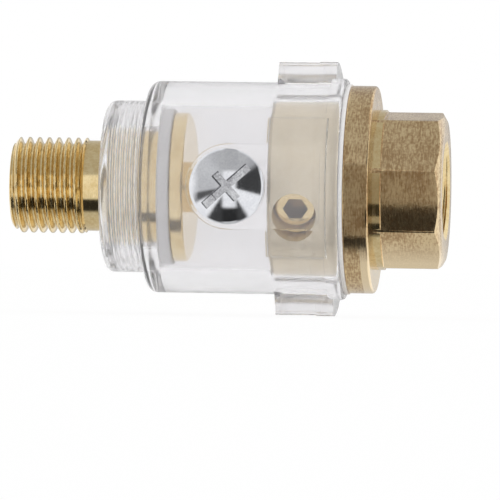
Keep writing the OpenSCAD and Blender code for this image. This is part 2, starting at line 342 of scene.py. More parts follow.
class NodeBoard:
    """A node tree, with short calls for the nodes that the finishes and the studio share."""

    def __init__(self, tree: bpy.types.NodeTree) -> None:
        """Take over a tree."""
        self.tree = tree

    def add(self, kind: str, **settings: object) -> bpy.types.Node:
        """Add a node.

        Args:
            kind: The node's type name.
            **settings: Properties set on the node.

        Returns:
            The new node.
        """
        node = self.tree.nodes.new(kind)
        for name, value in settings.items():
            setattr(node, name, value)
        return node

    def feed(self, socket: Socket, value: object) -> None:
        """Link an output to a socket, or set the socket to a plain value."""
        if isinstance(value, Socket):
            self.tree.links.new(value, socket)
        else:
            socket.default_value = value

    def math(self, operation: str, *values: object) -> Socket:
        """Combine numbers with a Math node."""
        node = self.add("ShaderNodeMath", operation=operation)
        for socket, value in zip(node.inputs, values):
            self.feed(socket, value)
        return node.outputs[0]

    def vector(self, operation: str, *values: object) -> bpy.types.Node:
        """Combine vectors with a Vector Math node."""
        node = self.add("ShaderNodeVectorMath", operation=operation)
        for socket, value in zip(node.inputs, values):
            self.feed(socket, value)
        return node

    def ramp(self, value: Socket, stops: list[tuple[float, Colour]]) -> Socket:
        """Turn a number into a colour.

        Args:
            value: The number.
            stops: Pairs of place and colour, in order.

        Returns:
            The colour's socket.
        """
        node = self.add("ShaderNodeValToRGB")
        bar = node.color_ramp.elements
        bar[0].position = stops[0][0]
        bar[1].position = stops[-1][0]
        for place_on_bar, _ in stops[1:-1]:
            bar.new(place_on_bar)
        for element, (_, colour) in zip(bar, stops):
            element.color = (*colour, 1.0)
        self.feed(node.inputs[0], value)
        return node.outputs[0]

    def span(self, value: Socket, limits: tuple[float, ...]) -> Socket:
        """Map a number from one range to another.

        Args:
            value: The number.
            limits: Low and high end of its own range, then of the new one.

        Returns:
            The new number's socket.
        """
        node = self.add("ShaderNodeMapRange")
        self.feed(node.inputs["Value"], value)
        for name, limit in zip(("From Min", "From Max", "To Min", "To Max"), limits):
            node.inputs[name].default_value = limit
        return node.outputs[0]

    def mix(self, share: object, first: object, second: object) -> Socket:
        """Mix two colours."""
        node = self.add("ShaderNodeMix", data_type="RGBA")
        for name, value in (("Factor", share), ("A", first), ("B", second)):
            socket = next(s for s in node.inputs if s.name == name and s.enabled)
            self.feed(socket, value)
        return next(s for s in node.outputs if s.enabled)

    def blend(self, share: object, first: object, second: object) -> Socket:
        """Mix two shaders."""
        node = self.add("ShaderNodeMixShader")
        for socket, value in zip(node.inputs, (share, first, second)):
            self.feed(socket, value)
        return node.outputs[0]

    def plain_sight(self) -> Socket:
        """Give 1 for rays from the camera, straight or through clear walls, and 0 for the rest."""
        rays = self.add("ShaderNodeLightPath").outputs
        one_mirror = self.math("COMPARE", rays["Glossy Depth"], 1.0, 0.5)
        many_walls = self.math("GREATER_THAN", rays["Transmission Depth"], 2.5)
        mirrored = self.math("MULTIPLY", one_mirror, many_walls)
        through = self.math("MULTIPLY", rays["Is Transmission Ray"], self.math("SUBTRACT", 1.0, mirrored))
        return self.math("MAXIMUM", rays["Is Camera Ray"], through)


class SurfaceBoard(NodeBoard):
    """A material with a Principled shader that reads the piece's own coordinates."""

    def __init__(self, name: str) -> None:
        """Start the material."""
        self.material = bpy.data.materials.new(name)
        self.material.use_nodes = True
        super().__init__(self.material.node_tree)
        self.shader = self.tree.nodes["Principled BSDF"]
        self.place = self.add("ShaderNodeTexCoord").outputs["Object"]

    def lathe_place(self) -> Socket:
        """Give coordinates that change only along X and outward, so a pattern runs round the air line."""
        parts = self.add("ShaderNodeSeparateXYZ")
        self.feed(parts.inputs[0], self.place)
        flat = self.vector("MULTIPLY", self.place, (0.0, 1.0, 1.0))
        radius = self.vector("LENGTH", flat.outputs[0])
        rows = self.add("ShaderNodeCombineXYZ")
        self.feed(rows.inputs[0], parts.outputs[0])
        self.feed(rows.inputs[1], radius.outputs["Value"])
        return rows.outputs[0]

    def noise(self, vector: Socket, scale: float, detail: float = 3.0) -> Socket:
        """Give a noise value at the coordinates.

        Args:
            vector: The coordinates.
            scale: Spots per unit of the coordinates.
            detail: Number of finer layers.

        Returns:
            The value's socket, about 0.5 on average.
        """
        node = self.add("ShaderNodeTexNoise")
        self.feed(node.inputs["Vector"], vector)
        node.inputs["Scale"].default_value = scale
        node.inputs["Detail"].default_value = detail
        return node.outputs["Fac"]

    def bump(self, height: Socket, distance: float) -> None:
        """Press a height pattern into the surface.

        Args:
            height: The pattern.
            distance: Height of the pattern from 0 to 1.
        """
        node = self.add("ShaderNodeBump")
        node.inputs["Strength"].default_value = 1.0
        node.inputs["Distance"].default_value = distance
        self.feed(node.inputs["Height"], height)
        self.feed(self.shader.inputs["Normal"], node.outputs[0])

    def fix(self, **values: object) -> None:
        """Set shader sockets that are the same all over, with _ for a space in their names."""
        for name, value in values.items():
            self.shader.inputs[name.replace("_", " ")].default_value = value


@dataclass(frozen=True)
class TurnedMetal:
    """Metal from the lathe: fine turning lines, a soft mottle and uneven gloss.

    Attributes:
        name: The material's name.
        colour: Clean metal.
        tarnish: Metal in the darker spots of the mottle.
        gloss: Lowest and highest roughness.
        mottle: Spots of tarnish per metre.
        grain: Finer specks per metre.
        line: Depth of the turning lines.
        painted_light: Paler colour painted on the lower side, which is painted light from below, not wear.
        painted_light_below: Height under which the painted light lies.
        painted_light_from: Place along X beyond which the painted light lies.
        scratch: Share of the tarnish that lies in short scratches round the air line.
    """

    name: str
    colour: Colour
    tarnish: Colour
    gloss: tuple[float, float]
    mottle: float
    grain: float
    line: float
    painted_light: Colour | None = None
    painted_light_below: float = 0.0
    painted_light_from: float = 0.0
    scratch: float = 0.0

    def material(self) -> bpy.types.Material:
        """Make the material."""
        board = SurfaceBoard(self.name)
        spots = board.noise(board.place, self.mottle, 3.0)
        specks = board.noise(board.place, self.grain, 4.0)
        both = board.math("MULTIPLY", board.math("ADD", spots, specks), 0.5)
        relief = board.math("MULTIPLY", specks, 0.6)
        if self.scratch:
            across = board.vector("MULTIPLY", board.place, (SCRATCH_STRETCH, 1.0, 1.0))
            marks = board.math("SUBTRACT", board.noise(across.outputs[0], SCRATCHES, 3.0), 0.5)
            both = board.math("ADD", both, board.math("MULTIPLY", marks, self.scratch))
            relief = board.math("ADD", relief, marks)
        colour = board.ramp(both, [(0.36, self.tarnish), (0.62, self.colour)])
        # Painted light: below a height and past a place along X the metal is painted paler, as if lit from
        # below.
        if self.painted_light:
            parts = board.add("ShaderNodeSeparateXYZ")
            board.feed(parts.inputs[0], board.place)
            painted_light_share = board.span(parts.outputs[2], (self.painted_light_below, self.painted_light_below - PAINTED_LIGHT_FADE, 0.0, 1.0))
            painted_light_past = board.math("GREATER_THAN", parts.outputs[0], self.painted_light_from)
            colour = board.mix(board.math("MULTIPLY", painted_light_share, painted_light_past), colour, (*self.painted_light, 1.0))
        board.feed(board.shader.inputs["Base Color"], colour)
        lines = board.noise(board.lathe_place(), TURNING_LINES, 2.0)
        board.feed(board.shader.inputs["Roughness"], board.span(lines, (0.3, 0.7, *self.gloss)))
        board.bump(board.math("ADD", lines, relief), self.line)
        board.fix(Metallic=1.0)
        return board.material


@dataclass(frozen=True)
class ClearPlastic:
    """Clear moulded plastic with a slight haze and a faint lilac cast.

    Attributes:
        name: The material's name.
        colour: Colour of the haze and of the light that comes through.
        clearness: Share of the light that passes.
        gloss: Lowest and highest roughness.
        index: Index of refraction.
        ripple: Height of the moulding's ripples.
    """

    name: str
    colour: Colour
    clearness: float
    gloss: tuple[float, float]
    index: float
    ripple: float

    def material(self) -> bpy.types.Material:
        """Make the material."""
        board = SurfaceBoard(self.name)
        wave = board.noise(board.place, 160.0, 2.0)
        shade = tuple(0.97 * part for part in self.colour)
        board.feed(board.shader.inputs["Base Color"], board.ramp(wave, [(0.3, shade), (0.7, self.colour)]))
        board.feed(board.shader.inputs["Roughness"], board.span(wave, (0.3, 0.7, *self.gloss)))
        board.bump(wave, self.ripple)
        board.fix(Transmission_Weight=self.clearness, IOR=self.index)
        return board.material


@dataclass(frozen=True)
class SoftSeal:
    """Matt rubber or soft plastic with a fine skin.

    Attributes:
        name: The material's name.
        colour: Its colour.
        clearness: Share of the light that passes.
        roughness: Mean roughness.
        skin: Height of the grain.
    """

    name: str
    colour: Colour
    clearness: float
    roughness: float
    skin: float

    def material(self) -> bpy.types.Material:
        """Make the material."""
        board = SurfaceBoard(self.name)
        grain = board.noise(board.place, 3000.0, 4.0)
        shade = tuple(0.9 * part for part in self.colour)
        board.feed(board.shader.inputs["Base Color"], board.ramp(grain, [(0.3, shade), (0.7, self.colour)]))
        low, high = self.roughness - 0.05, self.roughness + 0.05
        board.feed(board.shader.inputs["Roughness"], board.span(grain, (0.3, 0.7, low, high)))
        board.bump(grain, self.skin)
        board.fix(Transmission_Weight=self.clearness, IOR=1.45)
        return board.material


class Finish(Enum):
    """The finishes, one for each material of the part."""

    POLISHED_BRASS = TurnedMetal("polished_brass", (0.86, 0.70, 0.40), (0.72, 0.54, 0.26), (0.08, 0.18),
                                 500.0, 2500.0, 0.002 * MM)
    # TURNED_BRASS paints the lower side of the octagon paler, which is painted light, not wear.
    TURNED_BRASS = TurnedMetal("turned_brass", (0.84, 0.65, 0.38), (0.50, 0.33, 0.17), (0.12, 0.26),
                               260.0, 2600.0, 0.012 * MM, (0.97, 0.79, 0.52), -7.0 * MM, 38.5 * MM, 0.75)
    # Painted light: a paler, lit copy of the brass for the pieces seen through the bowl.
    PALE_LIT_BRASS = TurnedMetal("pale_lit_brass", (0.99, 0.90, 0.71), (0.93, 0.83, 0.63), (0.45, 0.6),
                              300.0, 2000.0, 0.004 * MM)
    # Painted shade: near-black brass for the hexagon socket, standing in for the shade in the recess.
    SOCKET_SHADE_BRASS = TurnedMetal("socket_shade_brass", (0.20, 0.12, 0.05), (0.10, 0.06, 0.03), (0.10, 0.25),
                              900.0, 3000.0, 0.004 * MM)
    PLATED_STEEL = TurnedMetal("plated_steel", (0.82, 0.83, 0.86), (0.72, 0.73, 0.77), (0.06, 0.14),
                               600.0, 3500.0, 0.001 * MM)
    # Rougher steel for the recess, whose darker colour is painted shade in the recess.
    DULL_SHADED_STEEL = TurnedMetal("dull_shaded_steel", (0.72, 0.73, 0.75), (0.40, 0.40, 0.42), (0.14, 0.3),
                             600.0, 4000.0, 0.003 * MM)
    CLEAR_PLASTIC = ClearPlastic("clear_plastic", (0.98, 0.975, 0.99), 0.9, (0.05, 0.09), 1.42, 0.004 * MM)
    GASKET_PLASTIC = SoftSeal("gasket_plastic", (0.98, 0.97, 0.965), 0.05, 0.4, 0.004 * MM)
    SEAL_RUBBER = SoftSeal("seal_rubber", (0.03, 0.03, 0.032), 0.0, 0.5, 0.006 * MM)

    def material(self) -> bpy.types.Material:
        """Give the finish's material, made at its first use."""
        made = bpy.data.materials.get("finish_" + self.value.name)
        if made is None:
            made = self.value.material()
            made.name = "finish_" + self.value.name
        return made


@dataclass
class SubAssembly:
    """A group of pieces that are built and dressed together."""

    pieces: list[Solid] = field(default_factory=list, init=False)

    def build(self) -> None:
        """Model the pieces."""
        raise NotImplementedError

    def dress(self, obj: Solid, node: str, body: str, finish: Finish) -> None:
        """Give a piece its finish and put it in the place of a solid of the frame.

        Args:
            obj: The piece.
            node: The solid that it stands for.
            body: The body that it moves with.
            finish: Its finish.
        """
        pick(obj)
        bpy.ops.object.shade_smooth_by_angle(angle=SMOOTH_ANGLE)
        weighted = obj.modifiers.new("flat_faces", "WEIGHTED_NORMAL")
        weighted.keep_sharp = True
        bpy.ops.object.modifier_apply(modifier=weighted.name)
        obj.data.materials.clear()
        obj.data.materials.append(finish.material())
        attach(obj, body)
        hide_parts(node)
        self.pieces.append(obj)

    @staticmethod
    def repaint(obj: Solid, finish: Finish, wanted: Callable[[Vector], bool]) -> None:
        """Give some of a piece's faces another finish.

        Args:
            obj: The piece.
            finish: The other finish.
            wanted: Tells from a face's centre whether the face gets it.
        """
        obj.data.materials.append(finish.material())
        for face in obj.data.polygons:
            if wanted(face.center):
                face.material_index = len(obj.data.materials) - 1


@dataclass
class Outlet(SubAssembly):
    """The brass nipple that screws into the tool, and the gasket under its inner flange."""

    thread_r: float = 13.157 / 2 * MM
    thread_depth: float = 0.856 * MM
    thread_pitch: float = 1.337 * MM
    thread_phase: float = 0.635
    shank_r: float = 6.2 * MM
    stem_r: float = 8.33 * MM
    stem_depth: float = 0.36 * MM
    stem_pitch: float = 0.675 * MM
    relief_r: float = 7.65 * MM
    flange_t: float = 1.9 * MM
    standpipe_r: float = 3.5 * MM
    bore_r: float = 2.5 * MM
    lead_in: float = 0.8 * MM
    edge: float = 0.4 * MM
    relief_start: float = 8.55 * MM
    gasket_rim: float = 0.3 * MM
    thread_runouts: Point = (0.0, 0.9 * MM)

    def __post_init__(self) -> None:
        """Read the places along the air line from the frame."""
        low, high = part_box("outlet_nipple")
        gasket_low, gasket_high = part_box("outlet_gasket")
        self.end_x, self.standpipe_end = low.x, high.x
        self.flange_r = high.z
        self.gasket_x, self.flange_x = gasket_low.x, gasket_high.x
        self.gasket_r = gasket_high.z
        self.stem_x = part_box("bowl")[0].x + self.edge

    def stem_thread(self, fit: float) -> Thread:
        """Give the thread between the stem and the bowl's neck.

        Args:
            fit: How far the surface stands outside the stem.

        Returns:
            The thread.
        """
        return Thread(self.stem_x, self.relief_start, self.stem_r + fit, self.stem_depth, self.stem_pitch)

    def build(self) -> None:
        """Model the nipple and its gasket."""
        nipple = self._nipple()
        self.dress(nipple, "outlet_nipple", HOUSING, Finish.POLISHED_BRASS)
        # Painted light: the stem inside the neck gets the paler, lit copy of the brass.
        self.repaint(nipple, Finish.PALE_LIT_BRASS, lambda centre: self.stem_x < centre.x < self.relief_start)
        self.dress(self._gasket(), "outlet_gasket", HOUSING, Finish.GASKET_PLASTIC)

    def _nipple(self) -> Solid:
        """Turn the nipple and cut its two threads."""
        flange_end = self.flange_x + self.flange_t
        small = self.edge / 2
        lead_end = (self.end_x + self.lead_in, self.thread_r)
        profile = [(self.end_x, self.bore_r + small)]
        profile += thread_rows((self.end_x, self.thread_r - self.thread_depth), lead_end)
        profile += thread_rows(lead_end, (-small, self.thread_r))[1:]
        profile += [(0.0, self.shank_r), (self.stem_x, self.shank_r), (self.stem_x, self.stem_r - self.edge)]
        stem_end = (self.relief_start - self.edge, self.stem_r)
        profile += thread_rows((self.stem_x + self.edge, self.stem_r), stem_end)
        profile += [(self.relief_start, self.relief_r), (self.flange_x, self.relief_r)]
        profile += arc((self.flange_x + small, self.flange_r - small), small, 180, 90, 4)
        profile += arc((flange_end - self.edge, self.flange_r - self.edge), self.edge, 90, 0)
        profile += [(flange_end, self.standpipe_r)]
        profile += arc((self.standpipe_end - self.edge, self.standpipe_r - self.edge), self.edge, 90, 0, 4)
        profile += [(self.standpipe_end, self.bore_r), (self.end_x + small, self.bore_r)]
        obj = turn("outlet_nipple_turning", profile)
        Thread(self.end_x, 0.0, self.thread_r, self.thread_depth, self.thread_pitch, self.thread_phase,
               self.thread_runouts).cut(obj)
        self.stem_thread(0.0).cut(obj)
        return obj

    def _gasket(self) -> Solid:
        """Turn the gasket, with rounded rims."""
        radii = (self.relief_r + THREAD_FIT, self.gasket_r)
        return turn_ring("outlet_gasket_ring", (self.gasket_x, self.flange_x), radii, self.gasket_rim)


@dataclass
class Filler(SubAssembly):
    """The filler screw with its slotted cross-head, and the washer under it."""

    shank_r: float = 2.95 * MM
    thread_depth: float = 0.55 * MM
    thread_pitch: float = 1.0 * MM
    edge_h: float = 0.9 * MM
    rim: float = 0.15 * MM
    slot_len: float = 8.9 * MM
    slot_w: float = 1.6 * MM
    slot_depth: float = 1.5 * MM
    cross_len: float = 5.1 * MM
    cross_depth: float = 1.8 * MM
    slot_angle: float = 42.0
    floor_share: Point = (0.9, 0.72)
    recess_round: float = 0.12 * MM
    recess_skin: float = 0.05 * MM
    point: float = 0.4 * MM

    def __post_init__(self) -> None:
        """Read the screw's heights above the air line from the frame."""
        low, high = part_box("filler_screw")
        seal_low, seal_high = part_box("filler_seal")
        self.x = (seal_low.x + seal_high.x) / 2
        self.seal_r = seal_high.z
        self.seal_base, self.seal_top = -seal_high.y, -seal_low.y
        self.bottom, self.top = -high.y, -low.y
        self.head_r = high.z
        self.head_base = self.seal_top + THREAD_FIT
        crown = self.top - self.head_base - self.edge_h
        self.dome_r = (self.head_r ** 2 + crown ** 2) / (2 * crown)

    def frame_matrix(self) -> Matrix:
        """Give the turn that lays X along the filler screw, out of the bowl."""
        return Matrix(((0, 1, 0, self.x), (-1, 0, 0, 0), (0, 0, 1, 0), (0, 0, 0, 1)))

    def build(self) -> None:
        """Model the screw and its washer."""
        screw = self._screw()
        self.dress(screw, "filler_screw", "filler_screw", Finish.PLATED_STEEL)
        # The slot and cross get rougher steel, darkened as painted shade in the recess.
        self.repaint(screw, Finish.DULL_SHADED_STEEL, self._in_recess)
        self.dress(self._seal(), "filler_seal", "filler_seal", Finish.GASKET_PLASTIC)

    def _in_recess(self, centre: Vector) -> bool:
        """Tell whether a face is in the slot or the cross."""
        out = math.hypot(centre.x - self.x, centre.z)
        if out > self.slot_len / 2 or -centre.y < self.head_base + self.rim:
            return False
        crown = self.top - self.dome_r + math.sqrt(self.dome_r ** 2 - out ** 2)
        return crown + centre.y > self.recess_skin

    def _screw(self) -> Solid:
        """Turn the screw, cut its thread and sink its slot and cross."""
        dome_r = self.dome_r
        dome_angle = math.degrees(math.asin(self.head_r / dome_r))
        edge_x = self.head_base + self.edge_h
        profile = [(self.bottom, 0.0), (self.bottom, self.shank_r - self.point)]
        profile += thread_rows((self.bottom + self.point, self.shank_r), (self.head_base, self.shank_r))
        profile += arc((self.head_base + self.rim, self.head_r - self.rim), self.rim, 180, 90, 4)
        profile += [(edge_x - self.rim, self.head_r)]
        profile += arc((self.top - dome_r, 0.0), dome_r, dome_angle - 2, 0, 28)
        obj = turn("filler_screw_head", profile, 144)
        Thread(self.bottom, self.head_base, self.shank_r, self.thread_depth, self.thread_pitch).cut(obj)
        combine(obj, self._recess(self.slot_len, self.slot_depth, 0.0), Cut.DIFFERENCE)
        for angle in (0.0, 90.0):
            combine(obj, self._recess(self.cross_len, self.cross_depth, angle), Cut.DIFFERENCE)
        place(obj, self.frame_matrix())
        return obj

    def _recess(self, length: float, depth: float, angle: float) -> Solid:
        """Make the tool for one arm of the recess, narrower at its floor.

        Args:
            length: Length of the arm.
            depth: Depth below the head's crown.
            angle: Turn from the slot in degrees.

        Returns:
            The tool.
        """
        bpy.ops.object.select_all(action="DESELECT")
        size = (2 * depth, length, self.slot_w)
        bpy.ops.mesh.primitive_cube_add(size=1.0, scale=size, location=(self.top, 0, 0))
        tool = bpy.context.object
        bpy.ops.object.transform_apply(location=True, rotation=False, scale=True)
        for vertex in tool.data.vertices:
            vertex.select = vertex.co.x < self.top
        bpy.ops.object.mode_set(mode="EDIT")
        bpy.ops.transform.resize(value=(1.0, *self.floor_share))
        bpy.ops.object.mode_set(mode="OBJECT")
        round_edges(tool, self.recess_round)
        place(tool, Matrix.Rotation(math.radians(self.slot_angle + angle), 4, "X"))
        return tool

    def _seal(self) -> Solid:
        """Turn the washer, with rounded rims."""
        rim = (self.seal_top - self.seal_base) / 3
        radii = (self.shank_r + THREAD_FIT, self.seal_r)
        obj = turn_ring("filler_seal_washer", (self.seal_base, self.seal_top), radii, rim, 96)
        place(obj, self.frame_matrix())
        return obj


@dataclass
class Inlet(SubAssembly):
    """The brass fitting with the octagon, its plug in the bowl, and the gasket behind its flange."""

    metering: "Metering" = None
    plug_r: float = 11.95 * MM
    flange_t: float = 3.5 * MM
    collar_r: float = 10.95 * MM
    collar_len: float = 1.3 * MM
    octagon_af: float = 20.4 * MM
    octagon_turn: float = 13.5
    face_r: float = 9.6 * MM
    port_r: float = 5.7225 * MM
    port_len: float = 12.0 * MM
    port_depth: float = 0.856 * MM
    port_pitch: float = 1.337 * MM
    mouth_r: float = 6.9 * MM
    jet_r: float = 2.0 * MM
    edge: float = 0.4 * MM
    chamfer_slope: float = 30.0
    drill_slope: float = 59.0
    gasket_rim: float = 0.15 * MM
    port_runouts: Point = (1.5 * MM, 0.0)

    def __post_init__(self) -> None:
        """Read the places along the air line from the frame."""
        low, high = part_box("inlet_fitting")
        gasket_low, gasket_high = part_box("inlet_gasket")
        self.plug_x, self.end_x = low.x, high.x
        self.flange_r = high.z
        self.gasket_x, self.flange_x = gasket_low.x, gasket_high.x
        self.gasket_r = gasket_high.z
        self.collar_x = self.flange_x + self.flange_t
        self.octagon_x = self.collar_x + self.collar_len

    def build(self) -> None:
        """Model the fitting and its gasket."""
        fitting = self._fitting()
        self.dress(fitting, "inlet_fitting", HOUSING, Finish.TURNED_BRASS)
        self.repaint(fitting, Finish.POLISHED_BRASS, self._is_bright)
        # Painted light: the plug inside the bowl gets the paler, lit copy of the brass.
        self.repaint(fitting, Finish.PALE_LIT_BRASS, lambda centre: centre.x < self.flange_x - self.edge / 2)
        self.dress(self._gasket(), "inlet_gasket", HOUSING, Finish.GASKET_PLASTIC)

    def _is_bright(self, centre: Vector) -> bool:
        """Tell whether a face is on the collar or in the port."""
        return self.collar_x < centre.x < self.octagon_x or centre.yz.length < self.mouth_r

    def _fitting(self) -> Solid:
        """Turn the fitting, mill its octagon, drill it for the metering screw and cut its port's thread."""
        chamfer = (self.collar_r - self.face_r) * math.tan(math.radians(self.chamfer_slope))
        port_end = self.end_x - self.port_len
        drill_end = port_end - self.port_r / math.tan(math.radians(self.drill_slope))
        jet_x = drill_end + self.jet_r / math.tan(math.radians(self.drill_slope))
        mouth_len = self.mouth_r - self.port_r
        small = self.edge / 2
        profile = [(self.plug_x, self.jet_r), (self.plug_x, self.plug_r - self.edge)]
        profile += [(self.plug_x + self.edge, self.plug_r), (self.flange_x, self.plug_r)]
        profile += arc((self.flange_x + small, self.flange_r - small), small, 180, 90, 4)
        profile += arc((self.collar_x - self.edge, self.flange_r - self.edge), self.edge, 90, 0, 4)
        profile += [(self.collar_x, self.collar_r), (self.end_x - chamfer, self.collar_r)]
        profile += [(self.end_x, self.face_r)]
        profile += thread_rows((self.end_x, self.mouth_r), (self.end_x - mouth_len, self.port_r))
        profile += thread_rows((self.end_x - mouth_len, self.port_r), (port_end, self.port_r))[1:]
        profile += [(jet_x, self.jet_r)]
        obj = turn("inlet_fitting_turning", profile)
        Thread(port_end, self.end_x, self.port_r, -self.port_depth, self.port_pitch, 0.0,
               self.port_runouts).cut(obj)
        combine(obj, self._octagon_stock(), Cut.INTERSECT)
        combine(obj, self.metering.drill(self.flange_r), Cut.DIFFERENCE)
        return obj

    def _octagon_stock(self) -> Solid:
        """Make the solid that the milled fitting stays inside: an octagon, and a wide disc behind it."""
        corner_r = self.octagon_af / 2 / math.cos(math.pi / 8)
        length = self.end_x + TOOL_MARGIN - self.octagon_x
        bpy.ops.object.select_all(action="DESELECT")
        bpy.ops.mesh.primitive_cylinder_add(vertices=8, radius=corner_r, depth=length)
        stock = bpy.context.object
        bpy.ops.object.mode_set(mode="OBJECT")
        for face in stock.data.polygons:
            face.select = face.normal.z < -0.9
        for edge in stock.data.edges:
            edge.select = all(stock.data.vertices[i].co.z < 0 for i in edge.vertices)
        for vertex in stock.data.vertices:
            vertex.select = vertex.co.z < 0
        bpy.ops.object.mode_set(mode="EDIT")
        bpy.ops.mesh.extrude_region_move(TRANSFORM_OT_translate={"value": (0, 0, 0)})
        bpy.ops.transform.resize(value=(2, 2, 1))
        drop = self.octagon_x - self.plug_x + TOOL_MARGIN
        bpy.ops.mesh.extrude_region_move(TRANSFORM_OT_translate={"value": (0, 0, -drop)})
        bpy.ops.object.mode_set(mode="OBJECT")
        round_edges(stock, self.edge / 2)
        along_x = Matrix.Rotation(math.pi / 2, 4, "Y")
        first_corner = Matrix.Rotation(math.radians(-self.octagon_turn), 4, "X")
        centre = Matrix.Translation((self.octagon_x + length / 2, 0, 0))
        front = Matrix.Rotation(math.pi / 2, 4, "X")
        place(stock, centre @ first_corner @ front @ along_x)
        return stock

    def _gasket(self) -> Solid:
        """Turn the gasket, with rounded rims."""
        radii = (self.plug_r + 2 * THREAD_FIT, self.gasket_r)
        return turn_ring("inlet_gasket_ring", (self.gasket_x, self.flange_x), radii, self.gasket_rim)


@dataclass
class Metering(SubAssembly):
    """The grub screw in the plug that sets the flow of oil, and its seal ring."""

    thread_r: float = 2.95 * MM
    thread_depth: float = 0.5 * MM
    thread_pitch: float = 1.0 * MM
    body_len: float = 6.5 * MM
    seat_r: float = 3.2 * MM
    needle_r: float = 1.1 * MM
    needle_len: float = 2.3 * MM
    socket_af: float = 3.0 * MM
    socket_depth: float = 2.2 * MM
    seal_r: float = 0.44 * MM
    seal_fit: float = 0.05 * MM
    edge: float = 0.4 * MM

    def __post_init__(self) -> None:
        """Read the screw's axis from the frame's joints."""
        joint = next(j for j in frame["joints"] if j["name"] == "metering_turn")
        self.foot = Vector(joint["pos_m"])
        self.axis = Vector(joint["axis"]).normalized()
        self.face = self.seat_r + self.body_len
        self.groove = self.seat_r + self.edge + self.seal_fit
        self.groove_w = 2 * (self.seal_r + self.seal_fit)
        self.groove_r = self.thread_r + self.seal_fit - 2 * (self.seal_r + self.seal_fit)

    def frame_matrix(self) -> Matrix:
        """Give the turn that lays X along the metering screw, out of the plug."""
        across = Vector((1, 0, 0))
        up = self.axis.cross(across)
        turned = Matrix((self.axis, across, up)).transposed().to_4x4()
        return Matrix.Translation(self.foot) @ turned

    def build(self) -> None:
        """Model the screw and its seal."""
        screw = self._screw()
        self.dress(screw, "metering_screw", "metering_screw", Finish.TURNED_BRASS)
        face_edge = self.face - self.edge
        self.repaint(screw, Finish.POLISHED_BRASS, lambda centre: self._height(centre) > face_edge)
        # Painted shade: the socket's faces get near-black brass for the shade in the recess.
        self.repaint(screw, Finish.SOCKET_SHADE_BRASS, self._in_socket)
        self.dress(self._seal(), "metering_seal", "metering_seal", Finish.SEAL_RUBBER)

    def drill(self, reach: float) -> Solid:
        """Make the tool that drills the screw's hole and its needle seat.

        Args:
            reach: How far the hole goes from the air line.

        Returns:
            The tool.
        """
        gap = 4 * self.seal_fit
        wide = self.thread_r + self.seal_fit
        floor = self.seat_r - gap
        profile = [(0.0, 0.0), (0.0, self.needle_r + gap / 2), (floor, self.needle_r + gap / 2)]
        profile += [(floor, wide), (reach, wide), (reach, 0.0)]
        tool = turn("metering_drill", profile, 96)
        place(tool, self.frame_matrix())
        return tool

    def _height(self, centre: Vector) -> float:
        """Give a point's distance from the air line along the screw."""
        return (centre - self.foot).dot(self.axis)

    def _in_socket(self, centre: Vector) -> bool:
        """Tell whether a face is in the hexagon socket."""
        height = self._height(centre)
        out = (centre - self.foot - self.axis * height).length
        return out < self.socket_af * 0.6 and self.face - self.socket_depth < height + THREAD_FIT < self.face

    def _screw(self) -> Solid:
        """Turn the screw, cut its thread and sink its hexagon socket."""
        tip = self.seat_r - self.needle_len
        profile = [(tip, 0.0), (tip, self.needle_r / 2), (tip + self.needle_len / 2, self.needle_r)]
        profile += [(self.seat_r, self.needle_r), (self.seat_r, self.thread_r - self.edge)]
        profile += [(self.seat_r + self.edge, self.thread_r), (self.groove, self.thread_r)]
        profile += [(self.groove, self.groove_r), (self.groove + self.groove_w, self.groove_r)]
        thread_start = (self.groove + self.groove_w, self.thread_r)
        profile += thread_rows(thread_start, (self.face - self.edge, self.thread_r))
        profile += [(self.face, self.thread_r - self.edge), (self.face, 0.0)]
        obj = turn("metering_grub", profile, 96)
        Thread(thread_start[0], self.face, self.thread_r, self.thread_depth, self.thread_pitch).cut(obj)
        combine(obj, self._socket(), Cut.DIFFERENCE)
        place(obj, self.frame_matrix())
        return obj

    def _socket(self) -> Solid:
        """Make the tool for the hexagon socket."""
        corner_r = self.socket_af / 2 / math.cos(math.pi / 6)
        bpy.ops.object.select_all(action="DESELECT")
        bpy.ops.mesh.primitive_cylinder_add(vertices=6, radius=corner_r, depth=2 * self.socket_depth)
        tool = bpy.context.object
        place(tool, Matrix.Translation((self.face, 0, 0)) @ Matrix.Rotation(math.pi / 2, 4, "Y"))
        return tool

    def _seal(self) -> Solid:
        """Turn the seal ring."""
        centre = (self.groove + self.groove_w / 2, self.groove_r + self.seal_fit + self.seal_r)
        obj = turn("metering_seal_ring", arc(centre, self.seal_r, 0, 345, 23), 96)
        place(obj, self.frame_matrix())
        return obj


